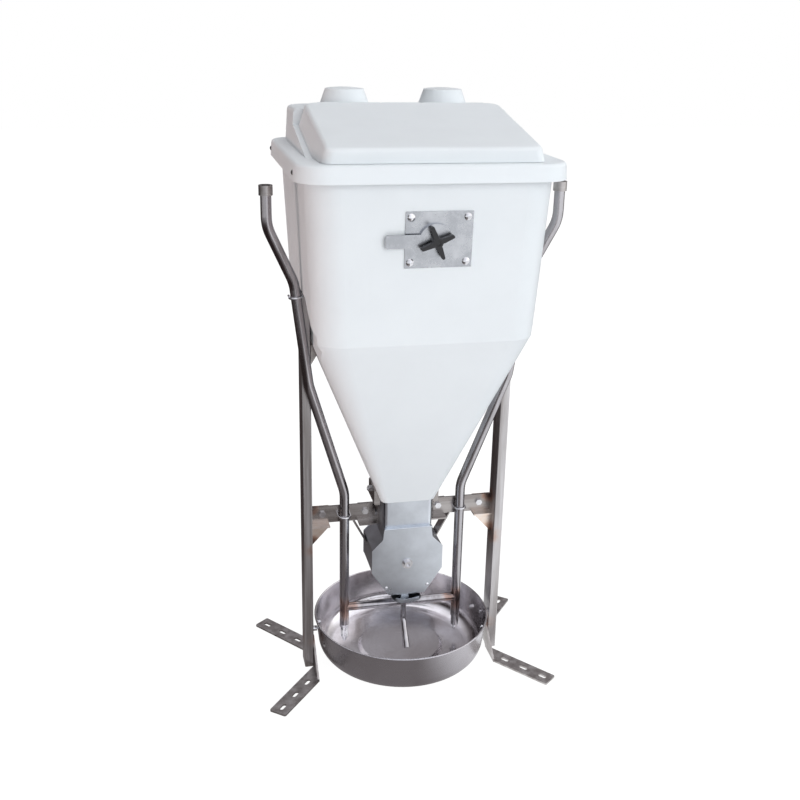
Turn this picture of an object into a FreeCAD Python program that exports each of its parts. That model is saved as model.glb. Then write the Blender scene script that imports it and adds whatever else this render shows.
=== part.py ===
import FreeCAD, Part
import math
import os

# Wet and dry hopper feeder for pigs: a moulded hopper on two posts, a metering housing with a
# swinging feed lever, two water pipes with drinking nipples, and a round trough.
# Millimetres. +X is the object's right, +Y its back, +Z up. The origin is on the ground, on the
# mirror plane, under the middle of the trough.

V = FreeCAD.Vector
X_AXIS = V(1, 0, 0)
Y_AXIS = V(0, 1, 0)
Z_AXIS = V(0, 0, 1)
GAP = 0.3

# Posts, feet and crossbar
POST_INNER_X = 207.0
POST_WIDTH = 20.0
POST_DEPTH = 45.0
POST_TOP = 881.0
POST_WALL = 2.0
CAP_THICK = 3.0
STRIP_THICK = 4.0
FOOT_WIDTH = 40.0
FOOT_ANGLE = 51.0
FOOT_BEND_Y = 54.0
FOOT_FIRST_SLOT = 41.0
FOOT_SLOT_PITCH = 50.5
FOOT_SLOT_COUNT = 3
FOOT_SLOT_LENGTH = 20.0
FOOT_SLOT_WIDTH = 9.0
FOOT_END_MARGIN = 22.0
BAR_BOTTOM = 344.0
BAR_HEIGHT = 40.0
BAR_FRONT_Y = 16.2
BAR_INNER_X = 74.0
BAR_BOLT_Z = 366.0
BAR_OUTER_BOLT_X = 180.0
BAR_INNER_BOLT_X = 84.0
GUSSET_REACH = 42.0
GUSSET_DROP = 44.0
SHEET = 2.0
BRACKET_SHEET = 3.5

# Hopper
HOPPER_WALL = 4.0
THROAT_Z = 414.0
CREASE_Z = 814.0
HOPPER_TOP = 1151.5
THROAT_HALF_X = 59.5
THROAT_FRONT = -52.5
THROAT_BACK = 52.5
THROAT_CORNER = 14.0
NECK_CORNER = 10.0
CREASE_HALF_X = 221.0
CREASE_FRONT = -196.0
CREASE_BACK = 220.0
HOPPER_CORNER = 60.0
TOP_HALF_X = 238.0
TOP_FRONT = -213.0
TOP_BACK = 239.0
LIP_HEIGHT = 8.0
LIP_REACH = 1.0
POCKET_X = 204.6
POCKET_TOP = 884.4
POCKET_TOP_HALF = 76.0
POCKET_LOW_Z = 830.0
POCKET_LOW_HALF = 165.0
POCKET_BOTTOM = 690.0

# Cover and filling flap
COVER_WALL = 4.5
COVER_BOTTOM = 1124.0
LEDGE_Z = 1156.0
COVER_HALF_X = 257.0
COVER_FRONT = -232.0
COVER_BACK = 258.0
COVER_CORNER = 60.0
UPSTAND_HALF_X = 226.0
UPSTAND_FRONT = -216.0
UPSTAND_BACK = 242.0
UPSTAND_DRAFT = 5.0
UPSTAND_EASE = 9.0
UPSTAND_CORNER = 46.0
DECK_Z = 1226.0
STEP_Y = 91.0
FLAP_SLOPE = 11.0
FLAP_FRONT_Y = -205.0
FLAP_FRONT_Z = 1183.0
FLAP_HALF_X = 200.0
FLAP_LENGTH = 296.0
FLAP_SKIRT = 43.0
FLAP_FLARE = 13.0
FLAP_WALL = 4.0
CURB_HALF_X = 182.0
CURB_START = 26.0
CURB_LENGTH = 246.0
CURB_WALL = 12.0
CURB_HEIGHT = 20.0
SPIGOT_X = 105.0
SPIGOT_Y = 171.0
SPIGOT_BASE_R = 53.0
SPIGOT_TOP_R = 40.0
SPIGOT_HEIGHT = 35.0
SPIGOT_DOME = 3.0
HINGE_Y = 97.5
HINGE_Z = 1232.8
HINGE_R = 6.0
HINGE_PIN_R = 3.0
RUNNING_FIT = 0.06
COVER_SCREW_YS = (-168.0, 197.0)
COVER_SCREW_DROP = 18.0
COVER_SCREW_SINK = 0.5

# Dose regulator on the front wall
DOSE_Z = 1018.0
WALL_LEAN = math.degrees(math.atan2(CREASE_FRONT - TOP_FRONT, HOPPER_TOP - CREASE_Z))
PLATE_LEFT = -57.0
PLATE_RIGHT = 71.0
PLATE_HEIGHT = 105.0
PLATE_RISE = 1.0
PLATE_THICK = 2.0
PLATE_SCREW_INSET = 10.5
LEVER_DISC_R = 32.0
LEVER_REACH = 95.0
LEVER_WIDTH = 25.0
LEVER_END_CORNER = 5.0
LEVER_THICK = 3.0
BOSS_THICK = 3.4
SHAFT_R = 6.0
CRANK_R = 30.0
CRANK_PIN_R = 4.0
YOKE_CLEARANCE = 1.2
YOKE_THICK = 6.0
ROD_R = 5.0
ROD_FOOT_Y = -31.0
ROD_FOOT_Z = 425.0
SHUTTER_FRONT = -45.5
SHUTTER_THICK = 3.0
SHUTTER_HALF_X = 46.0
SHUTTER_BOTTOM = 352.0
SHUTTER_TOP = 442.0
KNOB_ARM_R = 33.0
KNOB_TIP_HALF = 3.2
KNOB_BASE_R = 11.5
KNOB_BASE_HALF = 4.8
KNOB_WAIST_R = 8.5
KNOB_THICK = 9.0
KNOB_FACE = 4.0
KNOB_HUB_R = 9.5
KNOB_HEIGHT = 16.0
KNOB_ARM_COUNT = 4
KNOB_FIRST_ANGLE = 22.0

# Metering housing under the hopper
NECK_HALF_X = 55.5
NECK_HALF_Y = 48.0
NECK_BOTTOM = 350.0
NECK_TOP = 438.0
HOUSING_HALF_Y = 50.0
HOUSING_OUTLINE = ((53.0, 350.0), (56.0, 324.0), (80.0, 299.0), (80.0, 244.0), (40.5, 184.0))
SIDE_INSET = 1.0
PIVOT_Z = 262.0
PIVOT_R = 6.0
HUB_R = 12.0
CLAMP_BOTTOM = 400.0
CLAMP_TOP = 438.0
CLAMP_BOLT_Z = 422.0
CLAMP_EDGE = 3.0
SADDLE_R = 60.0
SADDLE_HALF_ANGLE = 40.0
TROUGH_R = 91.5
TROUGH_HALF_ANGLE = 21.0
TROUGH_FRONT = -64.0
TROUGH_BACK = 44.0
LEVER_Y = -24.0
LEVER_TUBE_R = 6.3
LEVER_END_R = 8.6
LEVER_BEND_Z = 104.0
LEVER_END_Y = -64.0
LEVER_END_Z = 52.0

# Water pipes and nipples
PIPE_R = 10.65
PIPE_WALL = 2.6
PIPE_X = 132.0
PIPE_Y = 5.0
PIPE_BEND_R = 80.0
PIPE_END_Z = 88.0
PIPE_ROUTE = ((132.0, 5.0, 88.0), (132.0, 5.0, 420.0), (214.0, -38.0, 690.0),
              (241.0, -38.0, 905.0), (294.0, -58.0, 1022.0), (294.0, -58.0, 1088.0))
COUPLING_R = 13.5
COUPLING_BOTTOM = 1081.0
COUPLING_TOP = 1100.0
THREAD_R = 9.35
CROSS_PIPE_R = 9.6
CROSS_PIPE_Z = 131.0
CLIP_ROD_R = 2.2
UPPER_CLIP_Z = 876.0
UPPER_CLIP_TAIL = 14.0
NIPPLE_R = 9.0
NIPPLE_TIP_Z = 50.0
NIPPLE_PIN_R = 4.0

# Trough
PAN_R = 200.0
PAN_RIM_Z = 111.0
PAN_BASE_Z = 17.0
PAN_BASE_R = 189.0
PAN_CORNER = 38.0
PAN_SHEET = 2.0
PAN_BEAD_R = 2.2
PAN_DISC_R = 92.0
PAN_DISC_RISE = 8.0
PAN_BOLT_Z = 86.0
PAN_BOLT_R = 3.0
PAN_PLUG_Y = 48.0
PAN_PLUG_Z = 71.0

PARTS = {}


def box(x0, x1, y0, y1, z0, z1):
    return Part.makeBox(x1 - x0, y1 - y0, z1 - z0, V(x0, y0, z0))


def cylinder(start, direction, radius, length):
    return Part.makeCylinder(radius, length, V(*start), direction)


def polygon_face(points):
    vectors = [V(*point) for point in points]
    return Part.Face(Part.makePolygon(vectors + vectors[:1]))


def prism_xz(points, y0, y1):
    face = polygon_face([(x, y0, z) for x, z in points])
    return face.extrude(V(0, y1 - y0, 0))


def prism_yz(points, x0, x1):
    face = polygon_face([(x0, y, z) for y, z in points])
    return face.extrude(V(x1 - x0, 0, 0))


def mirrored(shape):
    return shape.mirror(V(0, 0, 0), X_AXIS)


def add(name, shape):
    PARTS[name] = shape


def add_pair(name, right_shape):
    """The same piece on the right and, mirrored, on the left."""
    add(name + "_right", right_shape)
    add(name + "_left", mirrored(right_shape))


def group(shapes):
    return Part.makeCompound(shapes)


def rounded_rect(x0, x1, y0, y1, corner, z):
    """A closed wire: a level rectangle with rounded corners."""
    centres = ((x1 - corner, y1 - corner), (x0 + corner, y1 - corner),
               (x0 + corner, y0 + corner), (x1 - corner, y0 + corner))
    edges = []
    ends = []
    for index, (cx, cy) in enumerate(centres):
        spots = []
        for part_turn in (0, 45, 90):
            angle = math.radians(90 * index + part_turn)
            spots.append(V(cx + corner * math.cos(angle), cy + corner * math.sin(angle), z))
        ends.append((spots[0], spots[2]))
        edges.append(Part.Arc(*spots).toShape())
    joined = []
    for index, edge in enumerate(edges):
        joined.append(edge)
        joined.append(Part.makeLine(ends[index][1], ends[(index + 1) % 4][0]))
    return Part.Wire(joined)


def stack(levels):
    """A solid through level rounded rectangles, each (x half, y0, y1, corner, z)."""
    wires = [rounded_rect(-half, half, y0, y1, corner, z) for half, y0, y1, corner, z in levels]
    return Part.makeLoft(wires, True, True)


def eased_block(half, y0, y1, corner, z0, z1, draft, ease):
    """A drafted block whose top edge is rounded by the radius `ease`."""
    levels = [(half, y0, y1, corner, z0)]
    height = z1 - ease - z0
    inset = draft * height / (z1 - z0)
    steps = 5
    for step in range(steps + 1):
        angle = math.radians(90.0 * step / steps)
        inward = inset + ease * (1 - math.cos(angle))
        level_z = z1 - ease + ease * math.sin(angle)
        levels.append((half - inward, y0 + inward, y1 - inward, corner - inward * 0.5, level_z))
    return stack(levels)


def pipe_path(points, radius):
    """Straight runs joined by tangent arcs of one radius."""
    corners = [V(*point) for point in points]
    edges = []
    last = corners[0]
    for before, corner, after in zip(corners, corners[1:], corners[2:]):
        incoming = (corner - before).normalize()
        outgoing = (after - corner).normalize()
        turn = incoming.getAngle(outgoing)
        reach = radius * math.tan(turn / 2)
        start = corner - incoming * reach
        end = corner + outgoing * reach
        inward = (outgoing - incoming).normalize()
        middle = corner + inward * (radius / math.cos(turn / 2) - radius)
        edges.append(Part.makeLine(last, start))
        edges.append(Part.Arc(start, middle, end).toShape())
        last = end
    edges.append(Part.makeLine(last, corners[-1]))
    return Part.Wire(edges)


def swept_rod(points, bend_radius, radius):
    path = pipe_path(points, bend_radius)
    heading = V(*points[1]) - V(*points[0])
    ring = Part.Wire(Part.makeCircle(radius, V(*points[0]), heading))
    return path.makePipeShell([ring], True, True)


def hex_prism(start, direction, across_flats, length):
    corner_r = across_flats / math.sqrt(3)
    points = []
    for index in range(6):
        angle = math.radians(60 * index)
        points.append((corner_r * math.cos(angle), corner_r * math.sin(angle), 0))
    solid = polygon_face(points).extrude(V(0, 0, length))
    solid.Placement = FreeCAD.Placement(V(*start), FreeCAD.Rotation(Z_AXIS, direction))
    return solid


def hex_bolt(seat, inward, radius, grip, nut=True):
    """A bolt whose head stands on `seat`; its shank runs `inward` through `grip`."""
    outward = inward * -1
    head = hex_prism(seat, outward, radius * 3.3, radius * 1.3)
    shank = cylinder(seat, inward, radius, grip + (radius * 2 if nut else 0))
    bolt = head.fuse(shank)
    if nut:
        nut_seat = V(*seat) + inward * grip
        bolt = bolt.fuse(hex_prism(tuple(nut_seat), inward, radius * 3.3, radius * 1.5))
    return bolt.removeSplitter()


def dome_screw(seat, outward, radius, head_r, head_h, shank):
    """A slotted round-headed screw standing on `seat`."""
    sphere_r = (head_r ** 2 + head_h ** 2) / (2 * head_h)
    centre = V(*seat) - outward * (sphere_r - head_h)
    dome = Part.makeSphere(sphere_r, centre)
    head = dome.common(cylinder(seat, outward, head_r + 1, head_h + 1))
    slot = Part.makeBox(2 * head_r + 2, 1.4, head_h, V(-head_r - 1, -0.7, head_h * 0.55))
    slot.Placement = FreeCAD.Placement(V(*seat), FreeCAD.Rotation(Z_AXIS, outward))
    return head.cut(slot).fuse(cylinder(seat, outward * -1, radius, shank))


def make_posts():
    outer_x = POST_INNER_X + POST_WIDTH
    half = POST_DEPTH / 2
    tube = box(POST_INNER_X, outer_x, -half, half, 0, POST_TOP)
    upright = [edge for edge in tube.Edges if abs(edge.tangentAt(edge.FirstParameter).z) > 0.99]
    tube = tube.makeFillet(POST_WALL, upright)
    bore = box(POST_INNER_X + POST_WALL, outer_x - POST_WALL, -half + POST_WALL,
               half - POST_WALL, -1, POST_TOP + 1)
    add_pair("post", tube.cut(bore))
    cap = box(POST_INNER_X, outer_x, -half, half, POST_TOP, POST_TOP + CAP_THICK)
    plug = box(POST_INNER_X + POST_WALL, outer_x - POST_WALL, -half + POST_WALL,
               half - POST_WALL, POST_TOP - 8, POST_TOP)
    cap = cap.fuse(plug)
    add("post_caps", group([cap, mirrored(cap)]))


def make_foot():
    """A strip on the ground whose inner end is bent up along the inside of the post."""
    along = V(math.cos(math.radians(FOOT_ANGLE)), math.sin(math.radians(FOOT_ANGLE)), 0)
    length = FOOT_FIRST_SLOT + FOOT_SLOT_PITCH * (FOOT_SLOT_COUNT - 1) + FOOT_END_MARGIN
    bend_x = POST_INNER_X - STRIP_THICK / 2
    strip = box(-60, length, -FOOT_WIDTH / 2, FOOT_WIDTH / 2, 0, STRIP_THICK)
    tip = [edge for edge in strip.Edges if abs(edge.CenterOfMass.x - length) < 0.01
           and abs(edge.tangentAt(edge.FirstParameter).z) > 0.99]
    strip = strip.makeFillet(4.0, tip)
    for index in range(FOOT_SLOT_COUNT):
        middle = FOOT_FIRST_SLOT + index * FOOT_SLOT_PITCH
        straight = FOOT_SLOT_LENGTH - FOOT_SLOT_WIDTH
        slot = box(middle - straight / 2, middle + straight / 2, -FOOT_SLOT_WIDTH / 2,
                   FOOT_SLOT_WIDTH / 2, -1, STRIP_THICK + 1)
        for end in (-straight / 2, straight / 2):
            slot = slot.fuse(cylinder((middle + end, 0, -1), Z_AXIS, FOOT_SLOT_WIDTH / 2,
                                      STRIP_THICK + 2))
        strip = strip.cut(slot)
    strip.rotate(V(0, 0, 0), Z_AXIS, FOOT_ANGLE)
    strip.translate(V(bend_x, FOOT_BEND_Y, 0))
    inner_x = POST_INNER_X - STRIP_THICK
    strip = strip.common(box(inner_x, 500, -100, 500, -1, 50))
    half_across = FOOT_WIDTH / 2 / along.x
    rise = along.x / along.y
    leg_top = (FOOT_BEND_Y - 1) * rise
    half_rise = FOOT_WIDTH / 2 / along.y
    outline = ((FOOT_BEND_Y + half_across, 0), (FOOT_BEND_Y - half_across, 0),
               (1, leg_top - half_rise), (1, leg_top + half_rise))
    leg = prism_yz(outline, inner_x, POST_INNER_X)
    return strip.fuse(leg).removeSplitter()


def make_feet():
    back_right = make_foot()
    front_right = back_right.mirror(V(0, 0, 0), Y_AXIS)
    add_pair("foot_back", back_right)
    add_pair("foot_front", front_right)


def make_crossbar():
    bar = box(BAR_INNER_X, POST_INNER_X, BAR_FRONT_Y, BAR_FRONT_Y + STRIP_THICK,
              BAR_BOTTOM, BAR_BOTTOM + BAR_HEIGHT)
    for bolt_x in (BAR_INNER_BOLT_X, BAR_OUTER_BOLT_X):
        bar = bar.cut(cylinder((bolt_x, 0, BAR_BOLT_Z), Y_AXIS, 4.0, 40))
    for clip_x in clip_leg_offsets():
        bar = bar.cut(cylinder((PIPE_X + clip_x, 0, BAR_BOLT_Z - 3), Y_AXIS, CLIP_ROD_R, 40))
    add_pair("crossbar", bar)


def clip_leg_offsets():
    reach = PIPE_R + CLIP_ROD_R + GAP
    return (-reach, reach)


def make_gussets():
    """An angle bracket on the post: back plate, shelf and a triangular web."""
    back_y = BAR_FRONT_Y + STRIP_THICK
    inner_x = POST_INNER_X - GUSSET_REACH
    back = box(inner_x, POST_INNER_X, back_y, back_y + SHEET * 1.5, BAR_BOTTOM,
               BAR_BOTTOM + BAR_HEIGHT)
    shelf = box(inner_x, POST_INNER_X, -4, back_y + SHEET * 1.5, BAR_BOTTOM - BRACKET_SHEET,
                BAR_BOTTOM)
    shelf_z = BAR_BOTTOM - BRACKET_SHEET
    web = prism_xz(((POST_INNER_X, shelf_z), (inner_x + 2, shelf_z),
                    (POST_INNER_X, shelf_z - GUSSET_DROP)), 2, 2 + BRACKET_SHEET)
    bracket = back.fuse(shelf).fuse(web)
    bracket = bracket.cut(cylinder((BAR_OUTER_BOLT_X, 0, BAR_BOLT_Z), Y_AXIS, 4.0, 40))
    add_pair("gusset", bracket.removeSplitter())


def make_hangers():
    """The bracket that carries the metering housing on the inner end of each crossbar."""
    back_y = BAR_FRONT_Y + STRIP_THICK
    side = box(NECK_HALF_X, NECK_HALF_X + BRACKET_SHEET, -6, back_y + SHEET * 1.5, BAR_BOTTOM - 3.5,
               BAR_BOTTOM + BAR_HEIGHT)
    back = box(NECK_HALF_X, BAR_INNER_X + 26, back_y, back_y + SHEET * 1.5, BAR_BOTTOM,
               BAR_BOTTOM + BAR_HEIGHT)
    shelf = box(NECK_HALF_X, BAR_INNER_X + 26, -6, back_y + SHEET * 1.5,
                BAR_BOTTOM - BRACKET_SHEET, BAR_BOTTOM)
    bracket = back.fuse(shelf).fuse(side)
    bracket = bracket.cut(cylinder((BAR_INNER_BOLT_X, 0, BAR_BOLT_Z), Y_AXIS, 4.0, 40))
    bracket = bracket.cut(cylinder((40, 5, BAR_BOLT_Z), X_AXIS, 4.0, 40))
    add_pair("hanger", bracket.removeSplitter())


def make_braces():
    """A flat strap from the crossbar down to the shoulder of the housing."""
    top_x = 109.0
    bottom_x = HOUSING_OUTLINE[2][0] - SIDE_INSET
    top_z = BAR_BOTTOM
    bottom_z = 288.0
    outline = ((top_x, top_z), (top_x + 3, top_z), (bottom_x + 3, bottom_z), (bottom_x, bottom_z - 4),
               (bottom_x, bottom_z))
    strap = prism_xz(outline, BAR_FRONT_Y - 4, BAR_FRONT_Y + 26)
    add_pair("brace", strap)


def make_frame_bolts():
    bolts = []
    grip = STRIP_THICK + SHEET * 1.5
    for sign in (-1, 1):
        for bolt_x in (BAR_INNER_BOLT_X, BAR_OUTER_BOLT_X):
            bolts.append(hex_bolt((sign * bolt_x, BAR_FRONT_Y, BAR_BOLT_Z), Y_AXIS, 4.0, grip))
        seat = (sign * (NECK_HALF_X + BRACKET_SHEET), 5, BAR_BOLT_Z)
        grip_in = BRACKET_SHEET + SHEET
        bolts.append(hex_bolt(seat, V(-sign, 0, 0), 4.0, grip_in))
    clamp_bolt = make_clamp_bolt()
    add("frame_bolts", group(bolts + [clamp_bolt, mirrored(clamp_bolt)]))


def cone_half_x(z):
    share = (z - THROAT_Z) / (CREASE_Z - THROAT_Z)
    return THROAT_HALF_X + share * (CREASE_HALF_X - THROAT_HALF_X)


def make_hopper_brackets():
    """A small sloping seat between the post and the cone, with a web on each side."""
    low_z = 748.0
    high_z = 770.0
    post_low = 727.0
    slope = (CREASE_HALF_X - THROAT_HALF_X) / (CREASE_Z - THROAT_Z)
    thick = BRACKET_SHEET / math.cos(math.atan(slope))
    low_x = cone_half_x(low_z)
    high_x = cone_half_x(high_z)
    half = POST_DEPTH / 2
    outline = ((POST_INNER_X, post_low), (low_x, low_z), (high_x, high_z), (POST_INNER_X, high_z))
    seat = prism_xz(((low_x, low_z), (low_x + thick, low_z), (POST_INNER_X, high_z - 6),
                     (POST_INNER_X, high_z), (high_x, high_z)), -half, half)
    bracket = seat
    for y0 in (-half, half - BRACKET_SHEET):
        bracket = bracket.fuse(prism_xz(outline, y0, y0 + BRACKET_SHEET))
    normal = V(-math.cos(math.atan(slope)), 0, math.sin(math.atan(slope)))
    middle = V(cone_half_x(758.0), 0, 758.0)
    bracket = bracket.cut(cylinder(tuple(middle - normal * 20), normal, 3.0, 40))
    add_pair("hopper_bracket", bracket.removeSplitter())
    screw = dome_screw(tuple(middle + normal * HOPPER_WALL), normal, 3.0, 7.0, 3.0,
                      HOPPER_WALL + BRACKET_SHEET)
    return screw, middle, normal


def hopper_levels(inset):
    """Rounded rectangles of the hopper, pushed inward by `inset`."""
    return ((THROAT_HALF_X - inset, THROAT_FRONT + inset, THROAT_BACK - inset,
             THROAT_CORNER - inset, THROAT_Z - (1 if inset else 0)),
            (CREASE_HALF_X - inset, CREASE_FRONT + inset, CREASE_BACK - inset,
             HOPPER_CORNER - inset, CREASE_Z),
            (TOP_HALF_X - inset, TOP_FRONT + inset, TOP_BACK - inset,
             HOPPER_CORNER - inset, HOPPER_TOP + (1 if inset else 0)))


def pocket(inset):
    """The recess in each side wall that takes the top of a post."""
    top = POCKET_TOP + inset
    outline = ((-POCKET_TOP_HALF - inset, top), (POCKET_TOP_HALF + inset, top),
               (POCKET_LOW_HALF + inset, POCKET_LOW_Z + inset),
               (POCKET_LOW_HALF + inset, POCKET_BOTTOM),
               (-POCKET_LOW_HALF - inset, POCKET_BOTTOM),
               (-POCKET_LOW_HALF - inset, POCKET_LOW_Z + inset))
    right = prism_yz(outline, POCKET_X - inset, 320)
    return right.fuse(mirrored(right))


def wall_y(z):
    """The front face of the upper hopper at height z."""
    share = (z - CREASE_Z) / (HOPPER_TOP - CREASE_Z)
    return CREASE_FRONT + share * (TOP_FRONT - CREASE_FRONT)


def on_wall(shape):
    """Carries a shape drawn about the origin, with -Y outward, on to the front wall."""
    moved = shape.copy()
    moved.rotate(V(0, 0, 0), X_AXIS, WALL_LEAN)
    moved.translate(V(0, wall_y(DOSE_Z), DOSE_Z))
    return moved


def make_hopper(middle, normal):
    outer = stack(hopper_levels(0)).cut(pocket(0))
    lip_z = HOPPER_TOP - LIP_HEIGHT
    lip = stack(((TOP_HALF_X + LIP_REACH, TOP_FRONT - LIP_REACH, TOP_BACK + LIP_REACH,
                  HOPPER_CORNER, lip_z),
                 (TOP_HALF_X + LIP_REACH, TOP_FRONT - LIP_REACH, TOP_BACK + LIP_REACH,
                  HOPPER_CORNER, HOPPER_TOP)))
    inner = stack(hopper_levels(HOPPER_WALL)).cut(pocket(HOPPER_WALL))
    hopper = outer.fuse(lip).cut(inner)
    hole = cylinder(tuple(middle - normal * 20), normal, 3.0, 40)
    hopper = hopper.cut(hole).cut(mirrored(hole))
    hopper = hopper.cut(on_wall(cylinder((0, -10, 0), Y_AXIS, SHAFT_R + RUNNING_FIT, 30)))
    for x, z in plate_screw_spots():
        hopper = hopper.cut(on_wall(cylinder((x, -10, z), Y_AXIS, 2.5, 20)))
    for x, y, z, direction in clamp_bolt_spots():
        hopper = hopper.cut(cylinder((x, y, z), direction, 4.0, 60))
    add("hopper", hopper.removeSplitter())


def clamp_bolt_spots():
    """Where the throat clamp bolts pass level through the cone and the neck."""
    return ((30, 12, CLAMP_BOLT_Z, X_AXIS), (-30, 12, CLAMP_BOLT_Z, X_AXIS * -1))


def make_throat_clamps():
    """A wedge plate on each side of the cone that clamps the throat on to the neck."""
    low_x = THROAT_HALF_X
    outer_x = cone_half_x(CLAMP_TOP) + CLAMP_EDGE
    outline = ((low_x, CLAMP_BOTTOM), (low_x, THROAT_Z), (cone_half_x(CLAMP_TOP), CLAMP_TOP),
               (outer_x, CLAMP_TOP), (outer_x, CLAMP_TOP - 36), (low_x + 10, CLAMP_BOTTOM))
    plate = prism_xz(outline, -30, 34)
    bolt_x, bolt_y, bolt_z, direction = clamp_bolt_spots()[0]
    plate = plate.cut(cylinder((bolt_x, bolt_y, bolt_z), direction, 4.0, 80))
    add_pair("throat_clamp", plate)


def make_clamp_bolt():
    """Level bolt from inside the neck through the cone's foot and the wedge plate."""
    bolt_y, bolt_z = clamp_bolt_spots()[0][1:3]
    neck_inside = NECK_HALF_X - SHEET
    reach = cone_half_x(CLAMP_TOP) + CLAMP_EDGE
    return hex_bolt((neck_inside, bolt_y, bolt_z), X_AXIS, 4.0, reach - neck_inside)


def make_neck():
    """The square sheet collar from the hopper's throat down to the housing."""
    outer = box(-NECK_HALF_X, NECK_HALF_X, -NECK_HALF_Y, NECK_HALF_Y, NECK_BOTTOM, NECK_TOP)
    upright = [edge for edge in outer.Edges if abs(edge.tangentAt(edge.FirstParameter).z) > 0.99]
    outer = outer.makeFillet(NECK_CORNER, upright)
    inner = box(-NECK_HALF_X + SHEET, NECK_HALF_X - SHEET, -NECK_HALF_Y + SHEET,
                NECK_HALF_Y - SHEET, NECK_BOTTOM - 1, NECK_TOP + 1)
    flange = box(-NECK_HALF_X + 2, NECK_HALF_X - 2, -HOUSING_HALF_Y - SHEET - 4, -NECK_HALF_Y,
                 NECK_BOTTOM, NECK_BOTTOM + SHEET)
    fold = cylinder((2 - NECK_HALF_X, -HOUSING_HALF_Y - SHEET - 4, NECK_BOTTOM + SHEET / 2), X_AXIS,
                    SHEET / 2 + 0.4, 2 * NECK_HALF_X - 4)
    neck = outer.fuse(flange).fuse(fold).cut(inner)
    neck = neck.cut(box(-100, 100, -100, 0, NECK_BOTTOM - 5, NECK_BOTTOM))
    for x, y, z, direction in clamp_bolt_spots():
        neck = neck.cut(cylinder((x, y, z), direction, 4.0, 60))
    for sign in (-1, 1):
        neck = neck.cut(cylinder((sign * 30, 5, BAR_BOLT_Z), V(sign, 0, 0), 4.0, 60))
    add("neck", neck.removeSplitter())


def housing_outline(inset):
    right = [(x - inset, z) for x, z in HOUSING_OUTLINE]
    return right + [(-x, z) for x, z in reversed(right)]


def make_housing():
    """Front and back plates and the bent side sheets between them."""
    for name, y0 in (("housing_front", -HOUSING_HALF_Y - SHEET), ("housing_back", HOUSING_HALF_Y)):
        plate = prism_xz(housing_outline(0), y0, y0 + SHEET)
        plate = plate.cut(cylinder((0, y0 - 1, PIVOT_Z), Y_AXIS, PIVOT_R, 4))
        for x, z in fixing_spots():
            plate = plate.cut(cylinder((x, y0 - 1, z), Y_AXIS, 2.0, 4))
        add(name, plate)
    outer = housing_outline(SIDE_INSET)[:5]
    inner = [(x - SHEET, z) for x, z in outer]
    side = prism_xz(outer + inner[::-1], -HOUSING_HALF_Y, HOUSING_HALF_Y)
    for y0, direction in ((-HOUSING_HALF_Y, Y_AXIS), (HOUSING_HALF_Y, Y_AXIS * -1)):
        for x, z in fixing_spots()[:1]:
            side = side.fuse(cylinder((x, y0, z), direction, 4.0, 10))
            side = side.cut(cylinder((x, y0, z), direction, 2.0, 8))
    side = side.common(box(0, 200, -HOUSING_HALF_Y, HOUSING_HALF_Y, 184, 350 - 0.5))
    add_pair("housing_side", side.removeSplitter())
    screws = []
    for x, z in fixing_spots():
        for sign in (-1, 1):
            seat = (x, sign * (HOUSING_HALF_Y + SHEET), z)
            screws.append(dome_screw(seat, V(0, sign, 0), 2.0, 3.8, 1.6, SHEET + 7))
    add("housing_screws", group(screws))


def fixing_spots():
    return ((47.0, 204.0), (-47.0, 204.0))


def arc_plate(radius, thick, centre_angle, half_angle, y0, y1):
    """A plate curved about the pivot, `centre_angle` measured from +X toward +Z."""
    spots = []
    for r in (radius, radius + thick):
        row = []
        for turn in (-half_angle, 0, half_angle):
            angle = math.radians(centre_angle + turn)
            row.append(V(r * math.cos(angle), y0, PIVOT_Z + r * math.sin(angle)))
        spots.append(row)
    edges = [Part.Arc(*spots[0]).toShape(), Part.makeLine(spots[0][2], spots[1][2]),
             Part.Arc(*reversed(spots[1])).toShape(), Part.makeLine(spots[1][0], spots[0][0])]
    return Part.Face(Part.Wire(edges)).extrude(V(0, y1 - y0, 0))


def make_rocker():
    """Hub, curved saddle with stirring pins, and two arms down through the outlet."""
    half_y = HOUSING_HALF_Y - 7
    hub = cylinder((0, -HOUSING_HALF_Y + GAP, PIVOT_Z), Y_AXIS, HUB_R, 2 * (HOUSING_HALF_Y - GAP))
    rocker = hub.fuse(arc_plate(SADDLE_R, SHEET, 90, SADDLE_HALF_ANGLE, -half_y, half_y))
    for y0 in (-36, 33):
        web = prism_xz(((-HUB_R, PIVOT_Z), (HUB_R, PIVOT_Z), (20, PIVOT_Z + SADDLE_R - 3),
                        (0, PIVOT_Z + SADDLE_R + 1), (-20, PIVOT_Z + SADDLE_R - 3)), y0, y0 + 3)
        arm = box(-8, 8, y0, y0 + 3, PIVOT_Z - TROUGH_R - 0.2, PIVOT_Z)
        rocker = rocker.fuse(web).fuse(arm)
    for y in (-18, 0, 18):
        rocker = rocker.fuse(cylinder((0, y, PIVOT_Z + SADDLE_R), Z_AXIS, 3.0, 26))
    rocker = rocker.cut(cylinder((0, -60, PIVOT_Z), Y_AXIS, PIVOT_R + RUNNING_FIT, 120))
    add("rocker", rocker.cut(PARTS["feed_tray"]).removeSplitter())


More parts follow.
